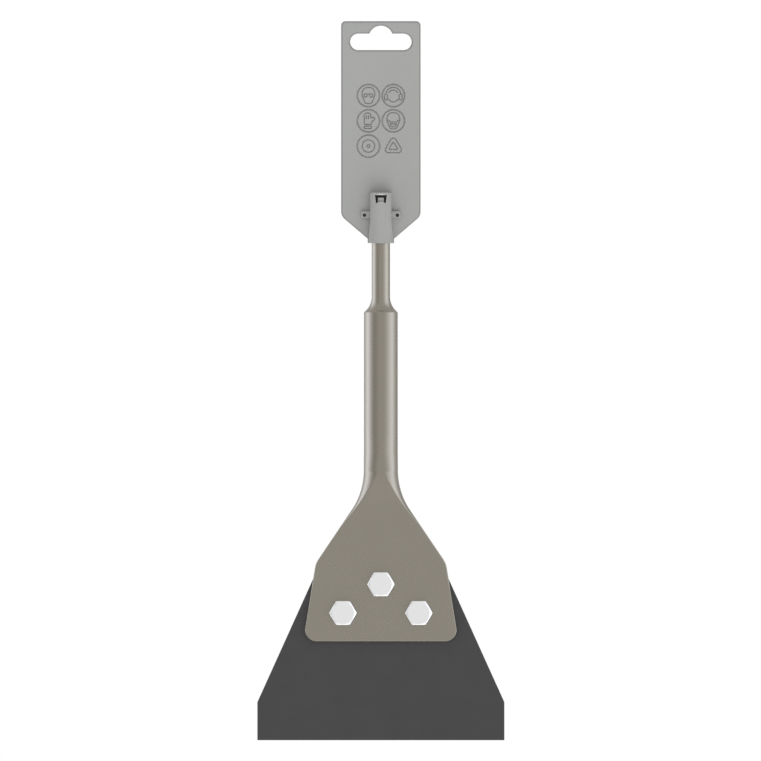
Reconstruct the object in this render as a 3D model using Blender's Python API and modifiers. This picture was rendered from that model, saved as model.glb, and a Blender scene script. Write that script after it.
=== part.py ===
"""SDS-plus floor scraper chisel with a bolted blade, held by its shank in a moulded hang tag.

Metres, +Z up; the front of the tool faces -Y. The origin is the point the part hangs from: the top of
the hanging slot's arch, in the middle of the card's thickness. Heights on the tool are measured up from
its cutting edge, and heights on the tag from the origin.
"""

import math

import bmesh
import bpy
from mathutils import Matrix, Vector

MM = 0.001

# Where the tool hangs
EDGE_Z = -390.4 * MM                 # cutting edge below the hanging point
TOOL_Y = -6.2 * MM                   # tool's axis in front of the card's middle
FACE_GAP = 0.2 * MM                  # between flat faces that touch
BORE_GAP = 0.3 * MM                  # round a piece in its hole
SHANK_GAP = 0.25 * MM                # round the shank in the sleeve

# Blade, heights above the cutting edge
BLADE_WIDTH = 135 * MM
BLADE_HEIGHT = 96 * MM
BLADE_STRAIGHT_SIDE = 20.8 * MM
BLADE_TAPER = 0.452                  # half-width lost for each unit of height above the straight side
BLADE_THICKNESS = 3 * MM
BLADE_BEVEL_HEIGHT = 10 * MM
BLADE_LAND = 0.6 * MM
BLADE_CORNER_RADIUS = 3 * MM

# Forged body, heights above the cutting edge
SPADE_BOTTOM = 54 * MM
SPADE_HALF_WIDTH = 42.5 * MM         # of the side lines carried down to the bottom
SPADE_CORNER_RADIUS = 6.2 * MM
SPADE_THICKNESS = 7 * MM
SHOULDER_HEIGHT = 96.7 * MM
SHOULDER_HALF_WIDTH = 35.5 * MM
SHOULDER_RADIUS = 12 * MM
FLARE_HEIGHT = 135.6 * MM            # where the sloping sides, carried on, would reach the shaft
FLARE_RADIUS = 38 * MM
SHAFT_RADIUS = 9.25 * MM
SHAFT_TOP = 234.4 * MM
SHAFT_CHAMFER = 0.5 * MM
FACET_APEX = 150.3 * MM              # tip of the V where the flat face runs out on the round shaft
FACET_SLOPE = 0.40                   # half-width of the V for each unit below its tip
FACET_CURVE = 7.6                    # and for the square of that, since the V opens out downwards
FACET_SHARE = 0.999                  # most of the half-width that the flat face takes
FORGED_RAMP = 28 * MM                # height in which the depth falls from the shaft's to the spade's
STATION_SPACING = 3 * MM             # between the forging's sections in that height

# SDS-plus shank, heights above the cutting edge
SHANK_RADIUS = 5 * MM
SHANK_FILLET = 8 * MM                # height of the hollow shoulder between shaft and shank
SHANK_FILLET_RADIUS = 10.6 * MM
SHANK_END = 292.9 * MM
SHANK_CHAMFER = 1 * MM
SHANK_EMBED = 4 * MM                 # overlap of the shank with the shaft that it is joined to
DRIVE_SLOT_WIDTH = 5 * MM
DRIVE_SLOT_FLOOR = 2.8 * MM          # from the axis
DRIVE_SLOT_LENGTH = 15.5 * MM
DRIVE_SLOT_RUNOUT = 4 * MM
BALL_RECESS_RADIUS = 2.7 * MM
BALL_RECESS_DEPTH = 1.7 * MM
BALL_RECESS_START = 7 * MM           # below the shank's end
BALL_RECESS_LENGTH = 13 * MM

# M8 fasteners
BOLT_PLACES = {"top": (0.0, 85.2 * MM), "left": (-20.7 * MM, 69.5 * MM), "right": (20.7 * MM, 69.5 * MM)}
BOLT_RADIUS = 3.95 * MM
BOLT_LENGTH = 25 * MM
BOLT_HOLE_RADIUS = 4.5 * MM
HEX_ACROSS_FLATS = 13 * MM
HEAD_HEIGHT = 5.3 * MM
NUT_HEIGHT = 6.5 * MM
WASHER_RADIUS = 8 * MM
WASHER_THICKNESS = 1.6 * MM
SPRING_WASHER_RADIUS = 7.3 * MM
SPRING_WASHER_THICKNESS = 2 * MM
SPRING_WASHER_GAP = 1.4 * MM

# Hang tag card, heights from the hanging point
CARD_THICKNESS = 1.8 * MM
CARD_TOP = 2.5 * MM
CARD_HALF_WIDTH = 21.7 * MM
CARD_CORNER_RADIUS = 2.4 * MM
CARD_SHOULDER = -104 * MM
CARD_SHOULDER_RADIUS = 5.5 * MM
CARD_TAB_TOP = -116.4 * MM
CARD_TAB_HALF_WIDTH = 7.2 * MM
TAG_BOTTOM = -118.8 * MM
SLOT_HALF_WIDTH = 16.8 * MM
SLOT_HALF_HEIGHT = 4.5 * MM
SLOT_MIDDLE = -8.8 * MM
SLOT_ARCH_RADIUS = 6.7 * MM

# Sleeve on the card, heights from the hanging point
SLEEVE_TOP = -91.1 * MM
SLEEVE_END_WALL = 1.4 * MM
SLEEVE_RADIUS = 5.93 * MM
SLEEVE_MOUTH_RADIUS = 6.86 * MM
SLEEVE_FLARE_TOP = -107.4 * MM
WINDOW_BOTTOM = -96.9 * MM
WINDOW_HALF_WIDTH = 3.25 * MM
WINDOW_HALF_WIDTH_LOW = 2.65 * MM
EAR_BOTTOM = -105.1 * MM
EAR_TOP = -101.3 * MM
EAR_REACH = 10.8 * MM
EAR_THICKNESS = 2.3 * MM
EAR_OVERLAP = 0.3 * MM               # of each ear with the sleeve's side
PIN_PLACE = (9.0 * MM, -103.5 * MM)
PIN_RADIUS = 0.8 * MM
PIN_RECESS = 0.5 * MM

# Latch tongue in the sleeve's front wall, heights from the hanging point
TONGUE_ROOT = -107.2 * MM
TONGUE_TIP = -96.1 * MM
TONGUE_SHOULDER = -97.2 * MM         # where the arched end meets the tongue's sides
NOSE_HALF_WIDTH = 1.65 * MM
NOSE_BOTTOM = -97.9 * MM
NOSE_TOP = -93.8 * MM
NOSE_SETBACK = 0.5 * MM

ROUND_STEPS = 28                     # facets round a shaft, pin or hole
SIDE_STEPS = ROUND_STEPS // 2
ARC_STEPS = 6                        # facets in a rounded corner
THROUGH = 60 * MM                    # length of a cutter that goes right through
SPARE = 2 * MM                       # how far a cutter sticks out, or an added piece goes in

CARD_FRONT = -CARD_THICKNESS / 2
SPADE_BACK = SPADE_THICKNESS / 2
BLADE_FRONT = SPADE_BACK + FACE_GAP
BLADE_BACK = BLADE_FRONT + BLADE_THICKNESS
WASHER_FRONT = BLADE_BACK + FACE_GAP
SPRING_WASHER_FRONT = WASHER_FRONT + WASHER_THICKNESS + FACE_GAP
NUT_FRONT = SPRING_WASHER_FRONT + SPRING_WASHER_THICKNESS + FACE_GAP
HEAD_BACK = -SPADE_BACK - FACE_GAP
BORE_RADIUS = SHANK_RADIUS + SHANK_GAP


def new_collection(name):
    collection = bpy.data.collections.new(name)
    bpy.context.scene.collection.children.link(collection)
    return collection


def material(name, colour, roughness, metallic):
    made = bpy.data.materials.new(name)
    made.use_nodes = True
    shader = made.node_tree.nodes["Principled BSDF"]
    shader.inputs["Base Color"].default_value = (*colour, 1.0)
    shader.inputs["Roughness"].default_value = roughness
    shader.inputs["Metallic"].default_value = metallic
    return made


def empty(name, place, parent=None):
    made = bpy.data.objects.new(name, None)
    made.location = place
    made.parent = parent
    made.empty_display_size = 0.01
    PARTS.objects.link(made)
    return made


def link(name, mesh, collection, parent=None, finish=None):
    made = bpy.data.objects.new(name, mesh)
    made.parent = parent
    if finish:
        mesh.materials.append(finish)
    collection.objects.link(made)
    return made


def cutter(name, mesh, place=(0, 0, 0), parent=None):
    made = link(name, mesh, CUTTERS, parent)
    made.location = place
    made.hide_render = True
    made.display_type = "WIRE"
    return made


def boolean(obj, tool, operation="DIFFERENCE"):
    modifier = obj.modifiers.new(f"{operation.lower()} {tool.name}", "BOOLEAN")
    modifier.object = tool
    modifier.operation = operation
    modifier.solver = "EXACT"


def mesh_from(name, build):
    """A mesh made by build(bm), with its faces pointing out."""
    bm = bmesh.new()
    build(bm)
    bmesh.ops.recalc_face_normals(bm, faces=bm.faces)
    mesh = bpy.data.meshes.new(name)
    bm.to_mesh(mesh)
    bm.free()
    return mesh


def cylinder(name, radius, depth, segments=ROUND_STEPS, axis="Z"):
    turn = {"X": Matrix.Rotation(math.pi / 2, 4, "Y"), "Y": Matrix.Rotation(math.pi / 2, 4, "X")}

    def build(bm):
        bmesh.ops.create_cone(
            bm, cap_ends=True, segments=segments, radius1=radius, radius2=radius, depth=depth,
            matrix=turn.get(axis, Matrix.Identity(4)),
        )

    return mesh_from(name, build)


def box(name, low, high):
    low, high = Vector(low), Vector(high)

    def build(bm):
        size = Matrix.Diagonal((*(high - low), 1.0))
        bmesh.ops.create_cube(bm, size=1.0, matrix=Matrix.Translation((low + high) / 2) @ size)

    return mesh_from(name, build)


def rounded(corners, steps=ARC_STEPS, closed=True):
    """The outline through corners (x, y, radius), with each corner that has a radius turned into an arc."""
    points = []
    count = len(corners)
    for index, (x, y, radius) in enumerate(corners):
        here = Vector((x, y))
        if not radius or (not closed and index in (0, count - 1)):
            points.append(here)
            continue
        before = (Vector(corners[index - 1][:2]) - here).normalized()
        after = (Vector(corners[(index + 1) % count][:2]) - here).normalized()
        half = before.angle(after) / 2
        centre = here + (before + after).normalized() * (radius / math.sin(half))
        first = here + before * (radius / math.tan(half)) - centre
        last = here + after * (radius / math.tan(half)) - centre
        sweep = first.angle_signed(last)
        for step in range(steps + 1):
            points.append(centre + Matrix.Rotation(-sweep * step / steps, 2) @ first)
    return points


def circle(radius, steps=ROUND_STEPS):
    turns = [2 * math.pi * step / steps for step in range(steps)]
    return [Vector((radius * math.cos(turn), radius * math.sin(turn))) for turn in turns]


def plate(name, loops, front, back):
    """A flat piece from front-view outlines, inner loops being holes, between two depths."""
    curve = bpy.data.curves.new(name, "CURVE")
    curve.dimensions = "2D"
    curve.fill_mode = "BOTH"
    curve.extrude = (back - front) / 2
    for loop in loops:
        spline = curve.splines.new("POLY")
        spline.points.add(len(loop) - 1)
        for point, place in zip(spline.points, loop):
            point.co = (place.x, place.y, 0.0, 1.0)
        spline.use_cyclic_u = True
    drawn = bpy.data.objects.new(name, curve)
    bpy.context.scene.collection.objects.link(drawn)
    bpy.context.view_layer.update()
    solid = bpy.data.meshes.new_from_object(drawn.evaluated_get(bpy.context.evaluated_depsgraph_get()))
    bpy.data.objects.remove(drawn, do_unlink=True)
    upright = Matrix.Translation((0, (front + back) / 2, 0)) @ Matrix.Rotation(math.pi / 2, 4, "X")
    solid.transform(upright)

    def build(bm):
        bm.from_mesh(solid)
        bmesh.ops.remove_doubles(bm, verts=bm.verts, dist=1e-6)

    made = mesh_from(name, build)
    bpy.data.meshes.remove(solid)
    return made


def turned(obj):
    """Sweeps an object's profile, drawn at +X from top to bottom, round its Z axis."""
    screw = obj.modifiers.new("turned", "SCREW")
    screw.axis = "Z"
    screw.angle = 2 * math.pi
    screw.steps = screw.render_steps = ROUND_STEPS
    screw.use_merge_vertices = True
    screw.merge_threshold = 1e-6
    screw.use_normal_calculate = True


def profile(name, points):
    mesh = bpy.data.meshes.new(name)
    edges = [(index, index + 1) for index in range(len(points) - 1)]
    mesh.from_pydata([(x, 0.0, z) for x, z in points], edges, [])
    return mesh


def loft(name, rings):
    """One closed solid through rings that have the same number of points each, lowest ring first."""

    def build(bm):
        rows = [[bm.verts.new(place) for place in ring] for ring in rings]
        count = len(rows[0])
        for low, high in zip(rows, rows[1:]):
            for index in range(count):
                after = (index + 1) % count
                bm.faces.new((low[index], low[after], high[after], high[index]))
        bm.faces.new(list(reversed(rows[0])))
        bm.faces.new(rows[-1])
        bmesh.ops.remove_doubles(bm, verts=bm.verts, dist=1e-6)

    return mesh_from(name, build)


def facet_half_width(height, half_width):
    """Half-width of the flat front face: nothing on the shaft, then a widening V, then all of the spade."""
    below = max(FACET_APEX - height, 0.0)
    return min(FACET_SLOPE * below + FACET_CURVE * below**2, FACET_SHARE * half_width)


def half_depth(height, half_width):
    """Half of the forging's depth: the shaft's above the V, eased down to the spade's below it."""
    share = min(max((FACET_APEX - height) / FORGED_RAMP, 0.0), 1.0)
    ease = (1 + math.cos(math.pi * share)) / 2
    round_depth = min(half_width, SHAFT_RADIUS)
    return SPADE_THICKNESS / 2 + (round_depth - SPADE_THICKNESS / 2) * ease


def forged_ring(height, half_width):
    """A section of the forging: an ellipse cut off by the flat front and back faces."""
    chord = facet_half_width(height, half_width)
    depth = half_depth(height, half_width)
    limit = math.acos(chord / half_width)
    ellipse = depth / math.sin(limit)
    ring = []
    for side in (1, -1):
        for step in range(SIDE_STEPS + 1):
            turn = limit * (2 * step / SIDE_STEPS - 1)
            ring.append((side * half_width * math.cos(turn), side * ellipse * math.sin(turn), height))
    return ring


def forged_outline():
    """Half-width and height up the forging's side, dense enough for its curved stretches."""
    corners = [
        (0.0, SPADE_BOTTOM, 0),
        (SPADE_HALF_WIDTH, SPADE_BOTTOM, SPADE_CORNER_RADIUS),
        (SHOULDER_HALF_WIDTH, SHOULDER_HEIGHT, SHOULDER_RADIUS),
        (SHAFT_RADIUS, FLARE_HEIGHT, FLARE_RADIUS),
        (SHAFT_RADIUS, SHAFT_TOP - SHAFT_CHAMFER, 0),
        (SHAFT_RADIUS - SHAFT_CHAMFER, SHAFT_TOP, 0),
    ]
    side = rounded(corners, ARC_STEPS, closed=False)[1:]
    stations = [side[0]]
    for point in side[1:]:
        last = stations[-1]
        reach = point.y - last.y
        ramp = FACET_APEX - FORGED_RAMP < (point.y + last.y) / 2 < FACET_APEX
        parts = max(1, math.ceil(reach / STATION_SPACING)) if ramp else 1
        stations += [last.lerp(point, part / parts) for part in range(1, parts + 1)]
    return stations


def shank_profile():
    """The turned shank from its end down into the shaft, with a hollow shoulder."""
    steps = 2 * ARC_STEPS
    spread = math.asin(SHANK_FILLET / SHANK_FILLET_RADIUS)
    centre = SHANK_RADIUS + SHANK_FILLET_RADIUS
    top = SHAFT_TOP + SHANK_FILLET
    hollow = [
        (centre - SHANK_FILLET_RADIUS * math.cos(turn), top - SHANK_FILLET_RADIUS * math.sin(turn))
        for turn in (spread * step / steps for step in range(steps + 1))
    ]
    end = [
        (0.0, SHANK_END),
        (SHANK_RADIUS - SHANK_CHAMFER, SHANK_END),
        (SHANK_RADIUS, SHANK_END - SHANK_CHAMFER),
    ]
    foot = [(SHANK_RADIUS, SHAFT_TOP - SHANK_EMBED), (0.0, SHAFT_TOP - SHANK_EMBED)]
    return end + hollow + foot


def drive_slot_outline():
    """Side view of the open slot's cutter: along the floor, then a curved run-out to the surface."""
    low = SHANK_END - DRIVE_SLOT_LENGTH
    outside = SHANK_RADIUS + SPARE
    top = SHANK_END + SPARE
    rise = outside - DRIVE_SLOT_FLOOR
    turns = [math.pi / 2 * step / ARC_STEPS for step in range(ARC_STEPS + 1)]
    runout = [
        (DRIVE_SLOT_FLOOR + rise * (1 - math.cos(turn)), low - DRIVE_SLOT_RUNOUT * math.sin(turn))
        for turn in turns
    ]
    return [(DRIVE_SLOT_FLOOR, top)] + runout + [(outside, top)]


def cut_shank(body, tool):
    """Two open drive slots, front and back, and two closed ball recesses, left and right."""
    half = DRIVE_SLOT_WIDTH / 2
    for side, name in ((-1, "front"), (1, "back")):
        outline = drive_slot_outline()
        rings = [[(x, side * y, z) for y, z in outline] for x in (-half, half)]
        boolean(body, cutter(f"drive_slot_{name}", loft(f"drive_slot_{name}", rings), parent=tool))
    length = BALL_RECESS_LENGTH / 2
    straight = length - BALL_RECESS_RADIUS
    turns = [math.pi / 2 * step / ARC_STEPS for step in range(ARC_STEPS + 1)]
    cap = [
        (BALL_RECESS_RADIUS * math.sin(turn), straight + BALL_RECESS_RADIUS * math.cos(turn))
        for turn in turns
    ]
    capsule = [(x, z) for x, z in cap] + [(x, -z) for x, z in reversed(cap)]
    reach = SHANK_RADIUS - BALL_RECESS_DEPTH + BALL_RECESS_RADIUS
    middle = SHANK_END - BALL_RECESS_START - length
    for side, name in ((-1, "left"), (1, "right")):
        recess = cutter(f"ball_recess_{name}", profile(f"ball_recess_{name}", capsule), parent=tool)
        recess.location = (side * reach, 0, middle)
        turned(recess)
        boolean(body, recess)


def bolt_holes(obj, tool):
    for place, (across, height) in BOLT_PLACES.items():
        name = f"bolt_hole_{place}"
        hole = CUTTERS.objects.get(name) or cutter(
            name, cylinder(name, BOLT_HOLE_RADIUS, THROUGH, axis="Y"), (across, 0, height), tool
        )
        boolean(obj, hole)


def make_chisel_body(tool, steel):
    rings = [forged_ring(point.y, point.x) for point in forged_outline()]
    body = link("chisel_body", loft("chisel_body", rings), PARTS, tool, steel)
    shank = cutter("shank", profile("shank", shank_profile()), parent=tool)
    turned(shank)
    boolean(body, shank, "UNION")
    cut_shank(body, tool)
    bolt_holes(body, tool)


def make_blade(tool, steel):
    half = BLADE_WIDTH / 2
    top = half - BLADE_TAPER * (BLADE_HEIGHT - BLADE_STRAIGHT_SIDE)
    right = [
        (half, 0.0, 0), (half, BLADE_STRAIGHT_SIDE, 0), (top, BLADE_HEIGHT, BLADE_CORNER_RADIUS),
    ]
    left = [(-x, height, radius) for x, height, radius in reversed(right)]
    mesh = plate("scraper_blade", [rounded(right + left)], BLADE_FRONT, BLADE_BACK)
    blade = link("scraper_blade", mesh, PARTS, tool, steel)
    bolt_holes(blade, tool)
    low = BLADE_FRONT + BLADE_LAND
    slope = (BLADE_BACK - low) / BLADE_BEVEL_HEIGHT
    wedge = [
        (low - slope * SPARE, -SPARE),
        (BLADE_BACK + slope * SPARE, BLADE_BEVEL_HEIGHT + SPARE),
        (BLADE_BACK + slope * SPARE, -SPARE),
    ]
    rings = [[(x, y, z) for y, z in wedge] for x in (-half - SPARE, half + SPARE)]
    boolean(blade, cutter("blade_bevel", loft("blade_bevel", rings), parent=tool))


def hexagon():
    corner = HEX_ACROSS_FLATS / 2 / math.cos(math.pi / 6)
    return circle(corner, 6)


def ring_with_gap():
    """Front view of the spring washer: a ring cut through at the top."""
    inner = BOLT_RADIUS + BORE_GAP
    steps = ROUND_STEPS - 2

    def arc(radius):
        half_gap = math.asin(SPRING_WASHER_GAP / 2 / radius)
        start, span = math.pi / 2 + half_gap, 2 * (math.pi - half_gap)
        turns = [start + span * step / steps for step in range(steps + 1)]
        return [Vector((radius * math.cos(turn), radius * math.sin(turn))) for turn in turns]

    return arc(SPRING_WASHER_RADIUS) + arc(inner)[::-1]


def make_fasteners(tool, zinc):
    """One M8 bolt, flat washer, spring washer and nut at each place, all on an empty on the bolt's axis."""
    bore = circle(BOLT_RADIUS + BORE_GAP)
    head_mesh = plate("hex_head", [hexagon()], HEAD_BACK - HEAD_HEIGHT, HEAD_BACK)
    washer_mesh = plate(
        "flat_washer", [circle(WASHER_RADIUS), bore], WASHER_FRONT, WASHER_FRONT + WASHER_THICKNESS
    )
    spring_mesh = plate(
        "spring_washer", [ring_with_gap()], SPRING_WASHER_FRONT, SPRING_WASHER_FRONT + SPRING_WASHER_THICKNESS
    )
    nut_mesh = plate("hex_nut", [hexagon(), bore], NUT_FRONT, NUT_FRONT + NUT_HEIGHT)
    rod_mesh = cylinder("bolt_rod", BOLT_RADIUS, BOLT_LENGTH + SPARE, axis="Y")
    for mesh in (head_mesh, washer_mesh, spring_mesh, nut_mesh):
        mesh.materials.append(zinc)
    for place, (across, height) in BOLT_PLACES.items():
        axis = empty(f"bolt_axis_{place}", (across, 0, height), tool)
        bolt = link(f"hex_bolt_{place}", head_mesh, PARTS, axis)
        rod_middle = HEAD_BACK + (BOLT_LENGTH - SPARE) / 2
        boolean(bolt, cutter(f"bolt_rod_{place}", rod_mesh, (0, rod_middle, 0), axis), "UNION")
        link(f"flat_washer_{place}", washer_mesh, PARTS, axis)
        link(f"spring_washer_{place}", spring_mesh, PARTS, axis)
        link(f"hex_nut_{place}", nut_mesh, PARTS, axis)


def hanging_slot():
    """The slot's outline: a bar with round ends and an arch in the middle of its upper side."""
    bar_top = SLOT_MIDDLE + SLOT_HALF_HEIGHT
    end = SLOT_HALF_WIDTH - SLOT_HALF_HEIGHT
    turns = [math.pi * step / (2 * ARC_STEPS) for step in range(2 * ARC_STEPS + 1)]
    right_end = [
        Vector((end + SLOT_HALF_HEIGHT * math.sin(turn), SLOT_MIDDLE - SLOT_HALF_HEIGHT * math.cos(turn)))
        for turn in turns
    ]
    left_end = [Vector((-point.x, point.y)) for point in reversed(right_end)]
    start = math.asin((bar_top + SLOT_ARCH_RADIUS) / SLOT_ARCH_RADIUS)
    sweep = math.pi - 2 * start
    arch = [
        Vector((SLOT_ARCH_RADIUS * math.cos(turn), SLOT_ARCH_RADIUS * (math.sin(turn) - 1)))
        for turn in (start + sweep * step / (2 * ARC_STEPS) for step in range(2 * ARC_STEPS + 1))
    ]
    return right_end + arch + left_end


def make_card(plastic):
    right = [
        (CARD_TAB_HALF_WIDTH, TAG_BOTTOM, 0),
        (CARD_TAB_HALF_WIDTH, CARD_TAB_TOP, 0),
        (CARD_HALF_WIDTH, CARD_SHOULDER, CARD_SHOULDER_RADIUS),
        (CARD_HALF_WIDTH, CARD_TOP, CARD_CORNER_RADIUS),
    ]
    left = [(-x, height, radius) for x, height, radius in reversed(right)]
    mesh = plate("hang_card", [rounded(right + left), hanging_slot()], CARD_FRONT, -CARD_FRONT)
    link("hang_card", mesh, PARTS, finish=plastic)


def saddle_ring(radius, height, back):
    """A section round the shank: half a circle in front and straight legs back towards the card."""
    turns = [math.pi * step / SIDE_STEPS for step in range(SIDE_STEPS + 1)]
    ring = [(-radius * math.cos(turn), TOOL_Y - radius * math.sin(turn), height) for turn in turns]
    return [(-radius, back, height)] + ring + [(radius, back, height)]


def window_cutter():
    """Tapered window with the tongue's straight slot under it, as one front-view outline."""
    slot = TONGUE_ROOT - BORE_GAP
    right = [
        Vector((WINDOW_HALF_WIDTH_LOW, slot)),
        Vector((WINDOW_HALF_WIDTH_LOW, WINDOW_BOTTOM)),
        Vector((WINDOW_HALF_WIDTH, SLEEVE_TOP - SLEEVE_END_WALL)),
    ]
    left = [Vector((-point.x, point.y)) for point in reversed(right)]
    return plate("window", [right + left], TOOL_Y - THROUGH, TOOL_Y - SHANK_RADIUS / 2)


def make_sleeve(plastic):
    back = CARD_FRONT - FACE_GAP
    rings = [
        saddle_ring(SLEEVE_MOUTH_RADIUS, TAG_BOTTOM, back),
        saddle_ring(SLEEVE_RADIUS, SLEEVE_FLARE_TOP, back),
        saddle_ring(SLEEVE_RADIUS, SLEEVE_TOP, back),
    ]
    sleeve = link("shank_sleeve", loft("shank_sleeve", rings), PARTS, finish=plastic)
    for side, name in ((-1, "left"), (1, "right")):
        reach = sorted((side * (SLEEVE_RADIUS - EAR_OVERLAP), side * EAR_REACH))
        low = (reach[0], back - EAR_THICKNESS, EAR_BOTTOM)
        high = (reach[1], back, EAR_TOP)
        boolean(sleeve, cutter(f"ear_{name}", box(f"ear_{name}", low, high)), "UNION")
        across, height = PIN_PLACE
        hole = cylinder(f"pin_hole_{name}", PIN_RADIUS + BORE_GAP, THROUGH, segments=16, axis="Y")
        boolean(sleeve, cutter(f"pin_hole_{name}", hole, (side * across, 0, height)))
    inside = SLEEVE_TOP - SLEEVE_END_WALL
    bore = [saddle_ring(BORE_RADIUS, height, back + SPARE) for height in (TAG_BOTTOM - SPARE, inside)]
    boolean(sleeve, cutter("sleeve_bore", loft("sleeve_bore", bore)))
    boolean(sleeve, cutter("window", window_cutter()))


def make_pins(steel):
    across, height = PIN_PLACE
    back = CARD_FRONT - FACE_GAP
    front = back - EAR_THICKNESS + PIN_RECESS
    for side, name in ((-1, "left"), (1, "right")):
        mesh = cylinder(f"sleeve_pin_{name}", PIN_RADIUS, back - front, segments=16, axis="Y")
        pin = link(f"sleeve_pin_{name}", mesh, PARTS, finish=steel)
        pin.location = (side * across, (front + back) / 2, height)


def make_latch_tongue(plastic):
    """A strip of the sleeve's front wall with an arched free end and a nose in the front drive slot."""
    root = empty("tongue_root", (0, TOOL_Y - SLEEVE_RADIUS, TONGUE_ROOT))
    half = WINDOW_HALF_WIDTH_LOW - BORE_GAP
    bulge = TONGUE_TIP - TONGUE_SHOULDER
    radius = (half * half + bulge * bulge) / (2 * bulge)
    spread = math.asin(half / radius)
    arch = [
        Vector((radius * math.sin(turn), TONGUE_TIP - radius * (1 - math.cos(turn))))
        for turn in (spread - 2 * spread * step / (2 * ARC_STEPS) for step in range(2 * ARC_STEPS + 1))
    ]
    outline = [Vector((-half, TONGUE_ROOT)), Vector((half, TONGUE_ROOT))] + arch
    strip = plate("latch_tongue", [outline], TOOL_Y - THROUGH, TOOL_Y - SHANK_RADIUS / 2)
    to_root = Matrix.Translation(-root.location)
    strip.transform(to_root)
    tongue = link("latch_tongue", strip, PARTS, root, plastic)
    heights = (TAG_BOTTOM, SLEEVE_TOP)
    outer = loft("tongue_outer", [saddle_ring(SLEEVE_RADIUS, height, TOOL_Y) for height in heights])
    inner = loft("tongue_inner", [saddle_ring(BORE_RADIUS, height, 0) for height in heights])
    boolean(tongue, cutter("tongue_outer", outer), "INTERSECT")
    boolean(tongue, cutter("tongue_inner", inner))
    front = TOOL_Y - SLEEVE_RADIUS + NOSE_SETBACK
    tip = TOOL_Y - DRIVE_SLOT_FLOOR - BORE_GAP
    nose = box("nose", (-NOSE_HALF_WIDTH, front, NOSE_BOTTOM), (NOSE_HALF_WIDTH, tip, NOSE_TOP))
    boolean(tongue, cutter("nose", nose), "UNION")


def shade_round_pieces():
    for obj in PARTS.objects:
        if obj.type == "MESH":
            obj.data.shade_smooth()
            obj.data.set_sharp_from_angle(angle=math.radians(30))


for old in list(bpy.data.objects):
    bpy.data.objects.remove(old, do_unlink=True)
PARTS = new_collection("scraper_chisel")
CUTTERS = new_collection("cutters")

forged_steel = material("forged_steel", (0.27, 0.24, 0.20), 0.45, 0.9)
blade_steel = material("blade_steel", (0.07, 0.07, 0.07), 0.5, 0.7)
zinc_plate = material("zinc_plate", (0.75, 0.75, 0.76), 0.3, 0.9)
tag_plastic = material("tag_plastic", (0.38, 0.39, 0.37), 0.55, 0.0)
pin_steel = material("pin_steel", (0.06, 0.06, 0.06), 0.5, 0.8)

tool_axis = empty("tool_axis", (0, TOOL_Y, EDGE_Z))
make_chisel_body(tool_axis, forged_steel)
make_blade(tool_axis, blade_steel)
make_fasteners(tool_axis, zinc_plate)
make_card(tag_plastic)
make_sleeve(tag_plastic)
make_pins(pin_steel)
make_latch_tongue(tag_plastic)
shade_round_pieces()
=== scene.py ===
"""The looks of the scraper chisel in its hang tag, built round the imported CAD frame.

Metres, +Z up, front towards -Y, as in the frame. Every CAD node is replaced by a finer piece of the same
size: forged steel with broken edges, threaded M8 fasteners, a moulded tag with engraved marks.
"""

import math
from math import asin, cos, hypot, pi, radians, sin, sqrt, tan

import bmesh
import bpy
from mathutils import Matrix, Vector


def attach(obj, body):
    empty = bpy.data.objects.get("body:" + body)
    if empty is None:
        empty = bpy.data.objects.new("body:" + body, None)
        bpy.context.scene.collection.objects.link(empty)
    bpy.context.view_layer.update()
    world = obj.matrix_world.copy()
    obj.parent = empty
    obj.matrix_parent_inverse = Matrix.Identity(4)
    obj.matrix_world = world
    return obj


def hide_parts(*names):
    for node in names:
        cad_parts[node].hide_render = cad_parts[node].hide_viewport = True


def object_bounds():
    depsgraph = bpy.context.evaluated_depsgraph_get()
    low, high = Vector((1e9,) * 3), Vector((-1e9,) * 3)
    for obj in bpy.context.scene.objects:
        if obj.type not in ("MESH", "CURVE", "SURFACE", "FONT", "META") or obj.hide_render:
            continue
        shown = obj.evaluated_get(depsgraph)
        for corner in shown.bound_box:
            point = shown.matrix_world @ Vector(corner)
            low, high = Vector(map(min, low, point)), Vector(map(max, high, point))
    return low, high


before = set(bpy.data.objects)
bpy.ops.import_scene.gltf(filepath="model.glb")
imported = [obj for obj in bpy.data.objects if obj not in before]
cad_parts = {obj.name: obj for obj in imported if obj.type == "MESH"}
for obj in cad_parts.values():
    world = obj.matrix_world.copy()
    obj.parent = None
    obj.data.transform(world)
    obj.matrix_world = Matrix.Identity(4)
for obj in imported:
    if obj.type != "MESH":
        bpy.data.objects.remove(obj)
cad_low, cad_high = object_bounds()
scene = bpy.context.scene

MM = 0.001
EDGE_Z = cad_low.z  # cutting edge
TOOL_Y = -6.2 * MM  # tool's axis in front of the card's middle
TO_TOOL = Matrix.Translation((0, TOOL_Y, EDGE_Z))

# Blade, heights above the cutting edge
BLADE_HALF_WIDTH = cad_high.x
BLADE_HEIGHT = 96 * MM
BLADE_STRAIGHT_SIDE = 20.8 * MM
BLADE_TAPER = 0.452  # half-width lost for each unit of height above the straight side
BLADE_CORNER_RADIUS = 3 * MM
BLADE_FRONT = 3.6 * MM  # depth behind the tool's axis
BLADE_BACK = 6.7 * MM
BLADE_BEVEL_HEIGHT = 10 * MM
BLADE_LAND = 0.6 * MM
BLADE_EDGE = 0.12 * MM

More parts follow.
